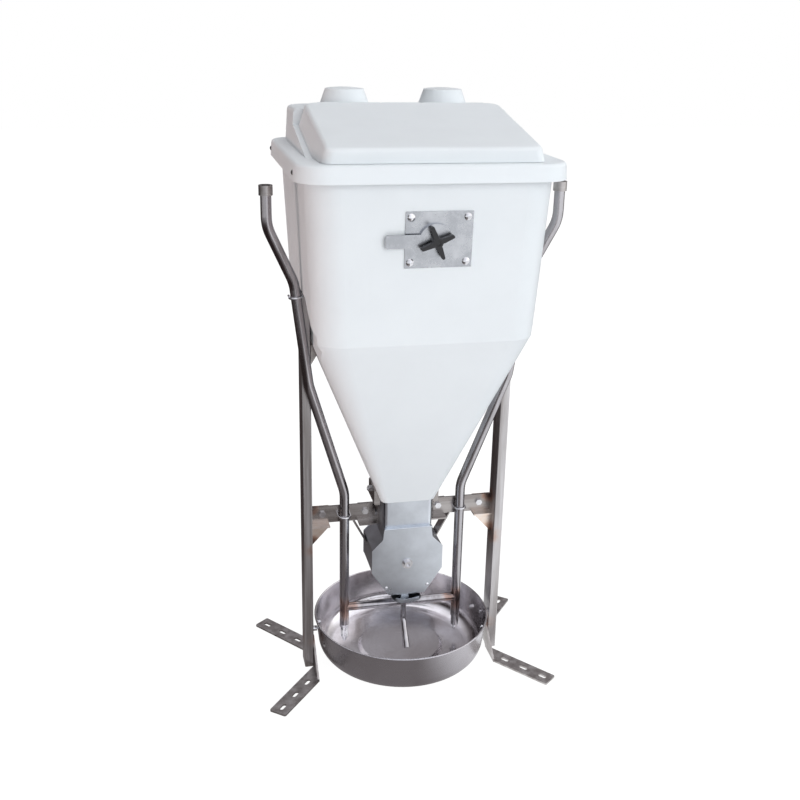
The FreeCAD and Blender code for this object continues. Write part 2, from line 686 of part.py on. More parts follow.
def make_feed_trough():
    """The curved tray that swings under the outlet and carries the lever."""
    tray = arc_plate(TROUGH_R, SHEET, -90, TROUGH_HALF_ANGLE, TROUGH_FRONT, TROUGH_BACK)
    lip = arc_plate(TROUGH_R - 7, 7, -90, TROUGH_HALF_ANGLE, TROUGH_FRONT, TROUGH_FRONT + SHEET)
    tray = tray.fuse(lip)
    corners = []
    for sign in (-1, 1):
        reach = TROUGH_R * math.sin(math.radians(TROUGH_HALF_ANGLE))
        corner_r = 12.0
        block = box(reach - corner_r, reach + 4, TROUGH_FRONT - 1, TROUGH_FRONT + corner_r,
                    PIVOT_Z - TROUGH_R - 5, PIVOT_Z - TROUGH_R + 20)
        round_off = cylinder((reach - corner_r, TROUGH_FRONT + corner_r, PIVOT_Z - TROUGH_R - 6),
                             Z_AXIS, corner_r, 30)
        corner = block.cut(round_off)
        corners.append(corner if sign > 0 else mirrored(corner))
    for corner in corners:
        tray = tray.cut(corner)
    tray = tray.cut(cylinder((0, LEVER_Y, PIVOT_Z - TROUGH_R - 10), Z_AXIS, 4.0, 30))
    add("feed_tray", tray.removeSplitter())


def make_feed_lever():
    """Stud, upper rod and the flared lower tube that the animal pushes."""
    tray_z = PIVOT_Z - TROUGH_R
    stud = cylinder((0, LEVER_Y, tray_z - 12), Z_AXIS, 4.0, 12 + 8)
    upper = swept_rod(((0, LEVER_Y, tray_z - 10), (0, LEVER_Y, LEVER_BEND_Z),
                       (0, LEVER_END_Y, LEVER_END_Z)), 26.0, LEVER_TUBE_R)
    heading = V(0, LEVER_END_Y - LEVER_Y, LEVER_END_Z - LEVER_BEND_Z)
    start = V(0, LEVER_Y, LEVER_BEND_Z) + heading * 0.30
    flare_length = heading.Length * 0.70 + 1
    flare = Part.makeCone(LEVER_TUBE_R, LEVER_END_R, flare_length, start, heading)
    hollow = Part.makeCone(LEVER_TUBE_R - 2, LEVER_END_R - 1.6, flare_length, start, heading)
    end_cut = hollow.common(Part.makeBox(40, 60, 24, V(-20, LEVER_END_Y - 30, LEVER_END_Z - 4)))
    lever = stud.fuse(upper).fuse(flare).cut(end_cut)
    add("feed_lever", lever.removeSplitter())
    nuts = []
    for seat_z, direction in ((tray_z - SHEET, Z_AXIS * -1), (tray_z, Z_AXIS)):
        nut = hex_prism((0, LEVER_Y, seat_z), direction, 13.0, 5.5)
        nut = nut.cut(cylinder((0, LEVER_Y, seat_z - 10), Z_AXIS, 4.0, 20))
        nuts.append(nut.cut(PARTS["feed_tray"]))
    add("lever_nuts", group(nuts))


def make_pivot_bolt():
    """The long bolt through both plates, with a washer under its socket head and a back nut."""
    front_y = -HOUSING_HALF_Y - SHEET
    span = 2 * (HOUSING_HALF_Y + SHEET)
    shank = cylinder((0, front_y, PIVOT_Z), Y_AXIS, PIVOT_R, span + 12)
    head = cylinder((0, front_y - 2 - 7, PIVOT_Z), Y_AXIS, 8.5, 7)
    socket = hex_prism((0, front_y - 10, PIVOT_Z), Y_AXIS, 8.0, 6)
    washer = cylinder((0, front_y - 2, PIVOT_Z), Y_AXIS, 12.0, 2)
    nut = hex_prism((0, front_y + span, PIVOT_Z), Y_AXIS, 19.0, 9)
    add("pivot_bolt", head.fuse(shank).fuse(washer).fuse(nut).cut(socket).removeSplitter())


def route(sign=1):
    return [(sign * x, y, z) for x, y, z in PIPE_ROUTE]


def make_water_pipes():
    outer = swept_rod(route(), PIPE_BEND_R, PIPE_R)
    inner = swept_rod(route(), PIPE_BEND_R, PIPE_R - PIPE_WALL)
    side_hole = cylinder((PIPE_X - PIPE_R - 2, PIPE_Y, CROSS_PIPE_Z), X_AXIS,
                         CROSS_PIPE_R - 2.2, 6)
    add_pair("water_pipe", outer.cut(inner).cut(side_hole))
    x, y, pipe_top = PIPE_ROUTE[-1]
    socket = cylinder((x, y, COUPLING_BOTTOM), Z_AXIS, COUPLING_R, COUPLING_TOP - COUPLING_BOTTOM)
    pipe_room = cylinder((x, y, COUPLING_BOTTOM - 1), Z_AXIS, PIPE_R, pipe_top - COUPLING_BOTTOM + 1)
    thread = cylinder((x, y, COUPLING_BOTTOM), Z_AXIS, THREAD_R, 40)
    add_pair("pipe_coupling", socket.cut(pipe_room).cut(thread))


def make_cross_pipe():
    """The level pipe that joins both water pipes, with a saddle end against each."""
    outer = cylinder((-PIPE_X, PIPE_Y, CROSS_PIPE_Z), X_AXIS, CROSS_PIPE_R, 2 * PIPE_X)
    inner = cylinder((-PIPE_X - 1, PIPE_Y, CROSS_PIPE_Z), X_AXIS, CROSS_PIPE_R - 2.2,
                     2 * PIPE_X + 2)
    pipe = outer.cut(inner)
    for sign in (-1, 1):
        pipe = pipe.cut(cylinder((sign * PIPE_X, PIPE_Y, CROSS_PIPE_Z - 30), Z_AXIS, PIPE_R, 60))
    add("cross_pipe", pipe)


def make_nipples():
    x, y = PIPE_X, PIPE_Y
    stub = cylinder((x, y, PIPE_END_Z), Z_AXIS, PIPE_R - PIPE_WALL, 12)
    collar = hex_prism((x, y, PIPE_END_Z - 7), Z_AXIS, 19.0, 7)
    barrel = cylinder((x, y, NIPPLE_TIP_Z + 7), Z_AXIS, NIPPLE_R, PIPE_END_Z - 14 - NIPPLE_TIP_Z)
    nose = Part.makeCone(NIPPLE_R - 2.5, NIPPLE_R, 7, V(x, y, NIPPLE_TIP_Z), Z_AXIS)
    bore = cylinder((x, y, NIPPLE_TIP_Z - 1), Z_AXIS, NIPPLE_PIN_R + RUNNING_FIT, 60)
    chamber = cylinder((x, y, NIPPLE_TIP_Z + 14), Z_AXIS, 6.2, 60)
    body = stub.fuse(collar).fuse(barrel).fuse(nose).cut(bore).cut(chamber)
    add_pair("nipple_body", body.removeSplitter())
    pin = cylinder((x, y, NIPPLE_TIP_Z - 7), Z_AXIS, NIPPLE_PIN_R, 24)
    pin = pin.fuse(cylinder((x, y, NIPPLE_TIP_Z + 14), Z_AXIS, 5.6, 4))
    add_pair("nipple_pin", pin.removeSplitter())


def pipe_point_at(z):
    """The centre of the right water pipe where it crosses height z on a straight run."""
    for start, end in zip(PIPE_ROUTE, PIPE_ROUTE[1:]):
        if start[2] <= z <= end[2]:
            share = (z - start[2]) / (end[2] - start[2])
            return tuple(a + share * (b - a) for a, b in zip(start, end))
    return PIPE_ROUTE[-1]


def u_clip(x, y, z, plate_y):
    """A round-rod U about a pipe, its legs running back through a plate at plate_y."""
    reach = clip_leg_offsets()[1]
    bend = Part.makeTorus(reach, CLIP_ROD_R, V(x, y, z), Z_AXIS)
    clip = bend.common(box(x - 20, x + 20, y - 20, y, z - 5, z + 5))
    for offset in clip_leg_offsets():
        clip = clip.fuse(cylinder((x + offset, y, z), Y_AXIS, CLIP_ROD_R, plate_y - y + 8))
    return clip.removeSplitter()


def make_lower_clips():
    bar_back = BAR_FRONT_Y + STRIP_THICK
    clip_z = BAR_BOLT_Z - 3
    clip = u_clip(PIPE_X, PIPE_Y, clip_z, bar_back)
    add("lower_clips", group([clip, mirrored(clip)]))
    nuts = []
    for offset in clip_leg_offsets():
        nut = hex_prism((PIPE_X + offset, bar_back, clip_z), Y_AXIS, 8.0, 4.0)
        nut = nut.cut(cylinder((PIPE_X + offset, bar_back - 1, clip_z), Y_AXIS, CLIP_ROD_R, 10))
        nuts.append(nut)
        nuts.append(mirrored(nut))
    add("clip_nuts", group(nuts))


def make_upper_clips():
    """A rod ring about the leaning pipe; one tail is seated in the front wall of the post."""
    x, y, z = pipe_point_at(UPPER_CLIP_Z)
    run = (V(*PIPE_ROUTE[3]) - V(*PIPE_ROUTE[2])).normalize()
    inner, outer = clip_leg_offsets()
    clip = Part.makeTorus(outer, CLIP_ROD_R, V(x, y, z), run)
    seat_depth = POST_WALL - GAP - POST_DEPTH / 2 - y
    clip = clip.fuse(cylinder((x + inner, y, z), Y_AXIS, CLIP_ROD_R, seat_depth))
    clip = clip.fuse(cylinder((x + outer, y, z), Y_AXIS, CLIP_ROD_R, UPPER_CLIP_TAIL))
    add_pair("upper_clip", clip.removeSplitter())
    for name in ("post_right", "post_left"):
        PARTS[name] = PARTS[name].cut(PARTS[name.replace("post", "upper_clip")])


def pan_solid(inset):
    """The filled trough, or its inside when `inset` is the sheet's thickness."""
    base_z = PAN_BASE_Z + inset
    lean = (PAN_R - PAN_BASE_R) / (PAN_RIM_Z - PAN_BASE_Z)
    base_r = PAN_BASE_R - inset + lean * inset
    rim_r = PAN_R - inset - PAN_BEAD_R
    top_z = PAN_RIM_Z + (5 if inset else -1)
    solid = Part.makeCone(base_r - PAN_BEAD_R, rim_r + (lean * 5 if inset else 0),
                          top_z - base_z, V(0, 0, base_z))
    bottom = [edge for edge in solid.Edges if abs(edge.BoundBox.ZMax - base_z) < 0.01]
    solid = solid.makeFillet(PAN_CORNER - inset, bottom)
    raised = Part.makeCone(PAN_DISC_R + 7 - inset / 3, PAN_DISC_R - inset / 3, PAN_DISC_RISE,
                           V(0, 0, base_z))
    return solid.cut(raised)


def make_pan():
    pan = pan_solid(0).cut(pan_solid(PAN_SHEET))
    bead_z = PAN_RIM_Z - PAN_BEAD_R
    pan = pan.fuse(Part.makeTorus(PAN_R - PAN_BEAD_R, PAN_BEAD_R, V(0, 0, bead_z), Z_AXIS))
    bolts = []
    for sign in (-1, 1):
        pan = pan.cut(cylinder((sign * 150, 0, PAN_BOLT_Z), V(sign, 0, 0), PAN_BOLT_R, 60))
        bolts.append(pan_post_bolt(sign))
        for y in (-PAN_PLUG_Y, PAN_PLUG_Y):
            seat, outward = pan_plug_spot(sign, y)
            drill = cylinder(tuple(seat - outward * 10), outward, PAN_BOLT_R, 20)
            pan = pan.cut(drill)
            bolts.append(pan_plug(seat, outward))
    add("pan", pan.removeSplitter())
    add("pan_bolts", group(bolts))


def pan_outer_r(z):
    share = (z - PAN_BASE_Z) / (PAN_RIM_Z - 1 - PAN_BASE_Z)
    return PAN_BASE_R + share * (PAN_R - PAN_BASE_R) - PAN_BEAD_R


def pan_post_bolt(sign):
    """A bolt with a spacer from the inside of the trough into the post."""
    seat_x = pan_outer_r(PAN_BOLT_Z) - PAN_SHEET - 4 * GAP
    direction = V(sign, 0, 0)
    spacer_x = seat_x + PAN_SHEET + 6 * GAP + 1
    head = dome_screw((sign * seat_x, 0, PAN_BOLT_Z), direction * -1, PAN_BOLT_R, 6.0, 2.6,
                      POST_INNER_X + POST_WALL - seat_x)
    spacer = cylinder((sign * spacer_x, 0, PAN_BOLT_Z), direction, 2 * PAN_BOLT_R,
                      POST_INNER_X - spacer_x)
    return head.fuse(spacer)


def pan_plug_spot(sign, y):
    """A point on the outside of the trough's wall, and the direction square to it."""
    radius = pan_outer_r(PAN_PLUG_Z)
    x = sign * math.sqrt(radius ** 2 - y ** 2)
    lean = math.atan2(PAN_R - PAN_BASE_R, PAN_RIM_Z - 1 - PAN_BASE_Z)
    outward = V(x / radius * math.cos(lean), y / radius * math.cos(lean), -math.sin(lean))
    return V(x, y, PAN_PLUG_Z), outward


def pan_plug(seat, outward):
    """A screw that closes a spare hole, with its nut inside the trough."""
    screw = dome_screw(tuple(seat + outward * 0.05), outward, PAN_BOLT_R, 6.0, 2.6, PAN_SHEET + 6)
    nut_seat = seat - outward * (PAN_SHEET + GAP)
    return screw.fuse(hex_prism(tuple(nut_seat), outward * -1, 10.0, 4.0))


def drill_pan_supports():
    """The bolts of the trough pass through the inner wall of each post."""
    for name, sign in (("post_right", 1), ("post_left", -1)):
        drill = cylinder((sign * 190, 0, PAN_BOLT_Z), V(sign, 0, 0), PAN_BOLT_R, 25)
        PARTS[name] = PARTS[name].cut(drill)


def flap_frame(shape):
    """Carries a shape drawn level, its front top edge at the origin, to the flap's slope."""
    moved = shape.copy()
    moved.rotate(V(0, 0, 0), X_AXIS, FLAP_SLOPE)
    moved.translate(V(0, FLAP_FRONT_Y, FLAP_FRONT_Z))
    return moved


def flap_block(inset, drop):
    """The flap's tray shape; `drop` lowers its top, `inset` pulls its walls inward."""
    levels = []
    ease = 9.0 - inset
    steps = 4
    low_z = -FLAP_SKIRT - (1 if inset else 0)
    flare = FLAP_FLARE - inset
    levels.append((FLAP_HALF_X + flare, -flare * 0.7, FLAP_LENGTH - inset, 20 - inset, low_z))
    for step in range(steps + 1):
        angle = math.radians(90.0 * step / steps)
        inward = ease * (1 - math.cos(angle)) + inset
        z = -drop - ease + ease * math.sin(angle)
        levels.append((FLAP_HALF_X + 3 - inward, inward - 2, FLAP_LENGTH - inset - (inward - inset) * 0.3,
                       18 - inset, z))
    return stack(levels)


def make_flap():
    tray = flap_block(0, 0).cut(flap_block(FLAP_WALL, FLAP_WALL))
    flap = flap_frame(tray)
    flap = flap.cut(box(-400, 400, -400, 400, 1000, LEDGE_Z + 2 * GAP))
    flap = flap.cut(box(-400, 400, STEP_Y - 2 * GAP, 400, 1000, 1400))
    for x in (-75, 75):
        knuckle = cylinder((x - 30, HINGE_Y, HINGE_Z), X_AXIS, HINGE_R, 60)
        arm = box(x - 30, x + 30, HINGE_Y - 18, HINGE_Y, HINGE_Z - 4, HINGE_Z + 4)
        flap = flap.fuse(knuckle).fuse(arm)
    flap = flap.cut(cylinder((-300, HINGE_Y, HINGE_Z), X_AXIS, HINGE_PIN_R + RUNNING_FIT, 600))
    add("filling_flap", flap.removeSplitter())
    pin = cylinder((-178, HINGE_Y, HINGE_Z), X_AXIS, HINGE_PIN_R, 356)
    add("hinge_pin", pin)


def above_slope(inset):
    """Everything over a plane parallel to the flap, `inset` below the skirt, up to the step."""
    slab = box(-400, 400, -200, FLAP_LENGTH + 200, -FLAP_SKIRT - 2 * GAP - inset, 300)
    return flap_frame(slab).common(box(-400, 400, -400, STEP_Y + inset, 1000, 1600))


def spigot(sign, inset):
    base = DECK_Z - inset * 2
    top_z = DECK_Z + SPIGOT_HEIGHT - inset
    cone = Part.makeCone(SPIGOT_BASE_R - inset, SPIGOT_TOP_R - inset, top_z - base,
                         V(sign * SPIGOT_X, SPIGOT_Y, base))
    top_r = SPIGOT_TOP_R - inset
    sphere_r = (top_r ** 2 + SPIGOT_DOME ** 2) / (2 * SPIGOT_DOME)
    dome = Part.makeSphere(sphere_r, V(sign * SPIGOT_X, SPIGOT_Y, top_z + SPIGOT_DOME - sphere_r))
    cap = dome.common(box(-400, 400, -400, 400, top_z, top_z + 30))
    return cone.fuse(cap)


def cover_body(inset):
    """Rim and upstand; with an inset, the hollow inside them."""
    low = COVER_BOTTOM - (1 if inset else 0)
    ease = 7.0 - inset
    rim = eased_block(COVER_HALF_X - inset, COVER_FRONT + inset, COVER_BACK - inset,
                      COVER_CORNER - inset, low, LEDGE_Z - inset, 2.0, ease)
    upstand = eased_block(UPSTAND_HALF_X - inset, UPSTAND_FRONT + inset, UPSTAND_BACK - inset,
                          UPSTAND_CORNER - inset, LEDGE_Z - 12, DECK_Z - inset, UPSTAND_DRAFT,
                          UPSTAND_EASE - inset)
    body = rim.fuse(upstand.cut(above_slope(inset)))
    for sign in (-1, 1):
        body = body.fuse(spigot(sign, inset))
    return body


def make_cover():
    cover = cover_body(0).cut(cover_body(COVER_WALL))
    base_z = -FLAP_SKIRT - 2 * GAP - COVER_WALL
    curb = box(-CURB_HALF_X, CURB_HALF_X, CURB_START, CURB_START + CURB_LENGTH, base_z,
               base_z + COVER_WALL + CURB_HEIGHT)
    mouth = box(-CURB_HALF_X + CURB_WALL, CURB_HALF_X - CURB_WALL, CURB_START + CURB_WALL,
                CURB_START + CURB_LENGTH - CURB_WALL, base_z - 60, base_z + 60)
    cover = cover.fuse(flap_frame(curb)).cut(flap_frame(mouth))
    for x in (-150, 0, 150):
        half = 22 if x else 40
        knuckle = cylinder((x - half, HINGE_Y, HINGE_Z), X_AXIS, HINGE_R, 2 * half)
        base = box(x - half, x + half, HINGE_Y - HINGE_R, HINGE_Y + HINGE_R, DECK_Z - 2, HINGE_Z)
        cover = cover.fuse(knuckle).fuse(base)
    cover = cover.cut(cylinder((-178, HINGE_Y, HINGE_Z), X_AXIS, HINGE_PIN_R, 356))
    for seat, outward in cover_screw_spots():
        cover = cover.cut(cylinder(seat, outward * -1, 2.5, 20))
    add("cover", cover.removeSplitter())


def cover_screw_spots():
    spots = []
    for sign in (-1, 1):
        for y in COVER_SCREW_YS:
            seat = (sign * (COVER_HALF_X - COVER_SCREW_SINK), y, LEDGE_Z - COVER_SCREW_DROP)
            spots.append((seat, V(sign, 0, 0)))
    return spots


def make_cover_screws():
    screws = [dome_screw(seat, outward, 2.5, 5.0, 2.4, 5.5) for seat, outward in cover_screw_spots()]
    add("cover_screws", group(screws))


def plate_screw_spots():
    top = PLATE_RISE + PLATE_HEIGHT / 2
    bottom = PLATE_RISE - PLATE_HEIGHT / 2
    inset = PLATE_SCREW_INSET
    return ((PLATE_LEFT + inset, top - inset), (PLATE_RIGHT - inset, top - inset),
            (PLATE_LEFT + inset, bottom + inset), (PLATE_RIGHT - inset, bottom + inset))


def make_regulator_plate():
    plate = box(PLATE_LEFT, PLATE_RIGHT, -PLATE_THICK, 0, PLATE_RISE - PLATE_HEIGHT / 2,
                PLATE_RISE + PLATE_HEIGHT / 2)
    plate = plate.cut(cylinder((0, -10, 0), Y_AXIS, SHAFT_R + RUNNING_FIT, 20))
    screws = []
    for x, z in plate_screw_spots():
        plate = plate.cut(cylinder((x, -10, z), Y_AXIS, 2.5, 20))
        screws.append(dome_screw((x, -PLATE_THICK, z), V(0, -1, 0), 2.5, 7.5, 3.2, 10))
    add("regulator_plate", on_wall(plate))
    add("plate_screws", on_wall(group(screws)))


def make_dose_lever():
    """Pointer lever with a boss, on the shaft that turns the crank inside the hopper."""
    face = -PLATE_THICK - GAP
    boss_front = face - BOSS_THICK
    front = boss_front - LEVER_THICK
    lever = cylinder((0, front, 0), Y_AXIS, LEVER_DISC_R, face - front)
    pointer = box(-LEVER_REACH, 0, front, boss_front, -LEVER_WIDTH / 2, LEVER_WIDTH / 2)
    tip = [edge for edge in pointer.Edges if abs(edge.CenterOfMass.x + LEVER_REACH) < 0.01
           and abs(edge.tangentAt(edge.FirstParameter).y) > 0.99]
    lever = lever.fuse(pointer.makeFillet(LEVER_END_CORNER, tip))
    lever = lever.cut(cylinder((0, front - 1, 0), Y_AXIS, SHAFT_R, 10))
    add("dose_lever", on_wall(lever.removeSplitter()))
    crank_y = HOPPER_WALL + 2
    stub = KNOB_HEIGHT - KNOB_FACE - 1
    shaft = cylinder((0, front - stub, 0), Y_AXIS, SHAFT_R, stub - front + crank_y + 4)
    add("dose_shaft", on_wall(shaft))
    arm = box(-CRANK_R, 0, crank_y, crank_y + 4, -8, 8)
    arm = arm.fuse(cylinder((-CRANK_R, crank_y, 0), Y_AXIS, 8, 4))
    arm = arm.fuse(cylinder((0, crank_y, 0), Y_AXIS, 11, 4))
    arm = arm.fuse(cylinder((-CRANK_R, crank_y + 4, 0), Y_AXIS, CRANK_PIN_R, 22))
    arm = arm.cut(cylinder((0, crank_y - 1, 0), Y_AXIS, SHAFT_R, 10))
    add("crank_arm", on_wall(arm.removeSplitter()))


def knob_spot(radius, across, turn, y):
    """A point `radius` out along a direction and `across` it, in the plane of the knob."""
    angle = math.radians(KNOB_FIRST_ANGLE + turn)
    return V(radius * math.cos(angle) - across * math.sin(angle), y,
             radius * math.sin(angle) + across * math.cos(angle))


def make_star_knob():
    """Slender tapered arms with a concave web between each two, on a round hub."""
    seat = -PLATE_THICK - 2 * GAP - BOSS_THICK - LEVER_THICK
    front = seat - KNOB_HEIGHT
    shoulder_r = KNOB_ARM_R - KNOB_TIP_HALF
    step = 360.0 / KNOB_ARM_COUNT
    edges = []
    for index in range(KNOB_ARM_COUNT):
        turn = index * step
        tip_right = knob_spot(shoulder_r, -KNOB_TIP_HALF, turn, front)
        tip_left = knob_spot(shoulder_r, KNOB_TIP_HALF, turn, front)
        base_left = knob_spot(KNOB_BASE_R, KNOB_BASE_HALF, turn, front)
        waist = knob_spot(KNOB_WAIST_R, 0, turn + step / 2, front)
        base_right = knob_spot(KNOB_BASE_R, -KNOB_BASE_HALF, turn + step, front)
        next_tip = knob_spot(shoulder_r, -KNOB_TIP_HALF, turn + step, front)
        edges.append(Part.Arc(tip_right, knob_spot(KNOB_ARM_R, 0, turn, front), tip_left).toShape())
        edges.append(Part.makeLine(tip_left, base_left))
        edges.append(Part.Arc(base_left, waist, base_right).toShape())
        edges.append(Part.makeLine(base_right, next_tip))
    star = Part.Face(Part.Wire(edges)).extrude(V(0, KNOB_THICK, 0))
    knob = star.fuse(cylinder((0, front, 0), Y_AXIS, KNOB_HUB_R, KNOB_HEIGHT)).removeSplitter()
    dish = cylinder((0, front - 1, 0), Y_AXIS, KNOB_HUB_R - KNOB_FACE, 2.4)
    bore = cylinder((0, front + KNOB_FACE, 0), Y_AXIS, SHAFT_R + RUNNING_FIT, KNOB_HEIGHT)
    add("star_knob", on_wall(knob.cut(dish).cut(bore)))


def crank_pin_middle():
    pin = V(-CRANK_R, HOPPER_WALL + 6 + 11, 0)
    return FreeCAD.Rotation(X_AXIS, WALL_LEAN).multVec(pin) + V(0, wall_y(DOSE_Z), DOSE_Z)


def make_dose_gate():
    """Rod with a slotted yoke on the crank pin; it lifts the shutter plate in the throat."""
    pin = crank_pin_middle()
    foot = V(pin.x, ROD_FOOT_Y, ROD_FOOT_Z)
    room = CRANK_PIN_R + YOKE_CLEARANCE
    slot_half = room + 4
    half = YOKE_THICK / 2
    yoke = box(pin.x - slot_half - 5, pin.x + slot_half + 5, pin.y - half, pin.y + half,
               pin.z - room - 7, pin.z + room + 7)
    slot = box(pin.x - slot_half, pin.x + slot_half, pin.y - 10, pin.y + 10, pin.z - room,
               pin.z + room)
    start = pin - V(0, 0, room + 4)
    run = foot - start
    rod = cylinder(tuple(start), run, ROD_R, run.Length)
    rod = yoke.fuse(rod).cut(slot).removeSplitter()
    add("dose_rod", rod)
    back = SHUTTER_FRONT + SHUTTER_THICK
    shutter = box(-SHUTTER_HALF_X, SHUTTER_HALF_X, SHUTTER_FRONT, back, SHUTTER_BOTTOM, SHUTTER_TOP)
    boss = box(pin.x - 9, pin.x + 9, back, foot.y + ROD_R + 2, ROD_FOOT_Z - 8, ROD_FOOT_Z + 12)
    add("dose_shutter", shutter.fuse(boss).cut(rod).removeSplitter())


def build_all():
    make_posts()
    make_feet()
    make_crossbar()
    make_gussets()
    make_hangers()
    make_braces()
    make_frame_bolts()
    screw, middle, normal = make_hopper_brackets()
    make_hopper(middle, normal)
    make_throat_clamps()
    make_neck()
    make_housing()
    make_feed_trough()
    make_rocker()
    make_feed_lever()
    make_pivot_bolt()
    make_water_pipes()
    make_cross_pipe()
    make_nipples()
    make_lower_clips()
    add("dome_screws", group([screw, mirrored(screw)]))
    make_upper_clips()
    make_pan()
    drill_pan_supports()
    make_flap()
    make_cover()
    make_cover_screws()
    make_regulator_plate()
    make_dose_lever()
    make_star_knob()
    make_dose_gate()


build_all()
os.makedirs("parts", exist_ok=True)
for node, shape in PARTS.items():
    shape.exportStep("parts/" + node + ".step")
    print(node, len(shape.Solids), round(shape.Volume), shape.isValid())
print(len(PARTS), "nodes")
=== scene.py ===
import math

import bpy
from mathutils import Matrix, Vector


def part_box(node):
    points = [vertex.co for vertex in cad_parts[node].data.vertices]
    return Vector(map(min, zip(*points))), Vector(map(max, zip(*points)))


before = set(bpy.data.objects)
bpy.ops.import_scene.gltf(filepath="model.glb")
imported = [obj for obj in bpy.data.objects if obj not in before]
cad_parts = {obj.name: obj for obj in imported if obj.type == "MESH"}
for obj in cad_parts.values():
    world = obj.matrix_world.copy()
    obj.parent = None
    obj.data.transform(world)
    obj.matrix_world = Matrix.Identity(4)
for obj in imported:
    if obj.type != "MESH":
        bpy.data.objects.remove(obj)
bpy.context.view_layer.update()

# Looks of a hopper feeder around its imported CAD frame. Metres; +X right, +Y back, +Z up.

CAMERA_PLACE = (-0.4800, -2.0334, 1.3988)
CAMERA_YAW = 12.95
CAMERA_PITCH = -20.21
CAMERA_ROLL = 1.19
CAMERA_LENS = 46.65
CAMERA_SENSOR = 36.0

# Edges: faces that meet at less than this many degrees are shaded as one
SMOOTH_ANGLE = 28.0
SMOOTH_MOULDED = 18.0
BEVEL_ANGLE = 35.0
BEVEL_SEGMENTS = 2
EDGE_FITTING = 0.0002
EDGE_SHEET = 0.0003
EDGE_STRIP = 0.0004
EDGE_MOULDED = 0.0006

# How far a noise is stretched along x, y and z for drawn or rolled grain
GRAIN_UPRIGHT = (1.0, 1.0, 0.04)
GRAIN_ACROSS = (0.04, 1.0, 1.0)
GRAIN_EVEN = (1.0, 1.0, 1.0)

# How far the heat of a weld colours the steel
REACH_BAR = 0.030
REACH_GUSSET = 0.040
REACH_FOOT = 0.035
REACH_PIPE = 0.045

WHITE = (1.0, 1.0, 1.0)
FLOOR_SIZE = 24.0
FLOOR_DROP = 0.0005
FLOOR_GLOW = 1.12
FLOOR_GLOW_SHARE = 0.86
FLOOR_GREY = (0.55, 0.55, 0.56)
FLOOR_DARK = (0.045, 0.033, 0.032)
FLOOR_DIM = (0.28, 0.26, 0.26)
FLOOR_BRIGHT = (1.15, 1.16, 1.18)

# Linear colours of the bare materials
PLASTIC_LIGHT = (0.83, 0.875, 0.90)
PLASTIC_DULL = (0.74, 0.775, 0.80)
STEEL_DARK = (0.27, 0.245, 0.235)
STEEL_MID = (0.52, 0.50, 0.49)
STEEL_LIGHT = (0.64, 0.63, 0.64)
PIPE_DARK = (0.33, 0.31, 0.32)
PIPE_LIGHT = (0.52, 0.51, 0.53)
SHEET_DARK = (0.54, 0.57, 0.61)
SHEET_LIGHT = (0.68, 0.72, 0.77)
PLATE_DARK = (0.40, 0.415, 0.44)
PLATE_LIGHT = (0.56, 0.575, 0.60)
PAN_DARK = (0.56, 0.53, 0.54)
PAN_LIGHT = (0.80, 0.79, 0.82)
PAN_OUTSIDE = (0.40, 0.385, 0.41)
TINT_STRAW = (0.80, 0.64, 0.52)
TINT_COPPER = (0.46, 0.24, 0.15)
TINT_SOOT = (0.07, 0.045, 0.045)
TINT_PALE = (0.88, 0.82, 0.78)
FITTING_DARK = (0.55, 0.55, 0.57)
FITTING_LIGHT = (0.85, 0.85, 0.87)
BLACK = (0.006, 0.006, 0.008)
BLACK_WORN = (0.016, 0.016, 0.018)

# The room, as what lights the plastic and as what the metal reflects: stops from left to
# right, then the colours in front, behind and overhead
ROOM_FILL = (((0.0, (0.10, 0.080, 0.075)), (0.42, (0.16, 0.14, 0.14)),
              (0.62, (0.62, 0.64, 0.68)), (1.0, (1.0, 1.0, 1.0))),
             (0.40, 0.40, 0.42), (0.30, 0.29, 0.30), (0.62, 0.62, 0.64))
ROOM_MIRRORED = (((0.0, (0.015, 0.010, 0.010)), (0.40, (0.03, 0.025, 0.025)),
                  (0.52, (0.42, 0.42, 0.45)), (0.75, (1.0, 1.0, 1.0))),
                 (0.80, 0.82, 0.88), (0.10, 0.09, 0.095), (0.80, 0.80, 0.84))
MIRRORED_STRENGTH = 1.6

# Soft lights: name, place, aim, width and height, watts, colour
LIGHTS = (
    ("front", (0.9, -3.2, 1.9), (0, 0, 0.6), (2.6, 2.4), 55.0, (0.96, 0.985, 1.0)),
    ("top", (0.2, 0.2, 3.8), (0, 0, 0.8), (2.8, 2.8), 15.0, (1.0, 1.0, 1.0)),
    ("left", (-3.0, -0.5, 0.5), (0, 0, 0.6), (1.6, 1.2), 28.0, (1.0, 0.79, 0.73)),
    ("back", (1.3, 3.0, 1.8), (0, 0, 0.6), (2.4, 2.0), 30.0, (0.98, 0.99, 1.0)),
    ("under", (0.0, -1.2, 0.05), (0, 0, 0.9), (1.6, 0.8), 5.0, (1.0, 1.0, 1.0)),
)


# ---------------------------------------------------------------- shader helpers

